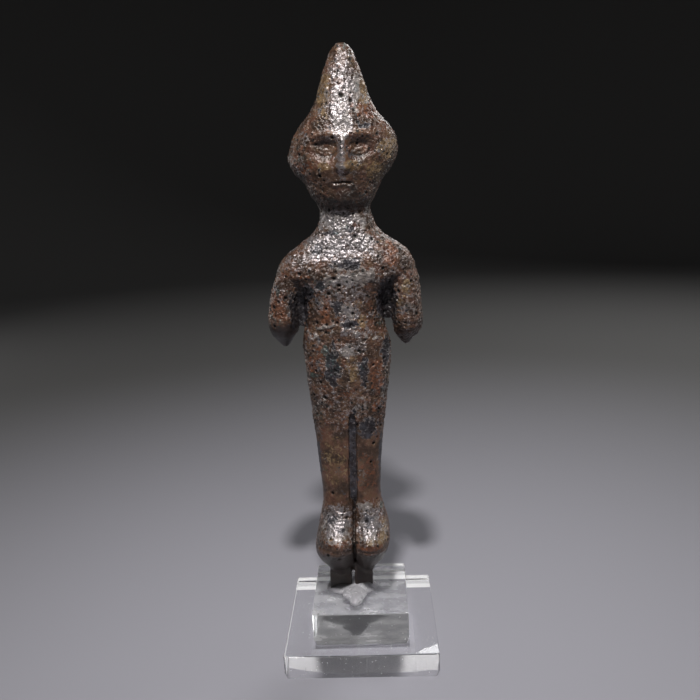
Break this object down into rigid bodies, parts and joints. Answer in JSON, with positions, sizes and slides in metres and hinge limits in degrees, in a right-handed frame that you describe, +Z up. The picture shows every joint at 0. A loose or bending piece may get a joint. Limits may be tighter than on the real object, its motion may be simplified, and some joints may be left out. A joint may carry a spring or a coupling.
{
  "type": "cast bronze figurine on stand",
  "caption": "Small cast bronze standing figure in a tall pointed cap, set by foot tangs in clear putty on a stepped clear acrylic display stand.",
  "frame": {"origin": "middle of the stand's underside, on the surface it stands on", "axes": "+Z up along the figure, the figure faces -Y, +X to the figure's left"},
  "size_m": [0.0366, 0.036, 0.1408],
  "materials": {
    "bronze": "aged cast bronze, dark brown with copper, slate and silvery patches, pitted, satin",
    "putty": "clear to whitish museum putty, glossy, full of tiny bubbles",
    "acrylic": "clear cast acrylic sheet, polished faces and edges, lightly scratched"
  },
  "bodies": {
    "root": {"figurine": "bronze", "putty": "putty", "block": "acrylic", "base_plate": "acrylic"}
  },
  "joints": []
}
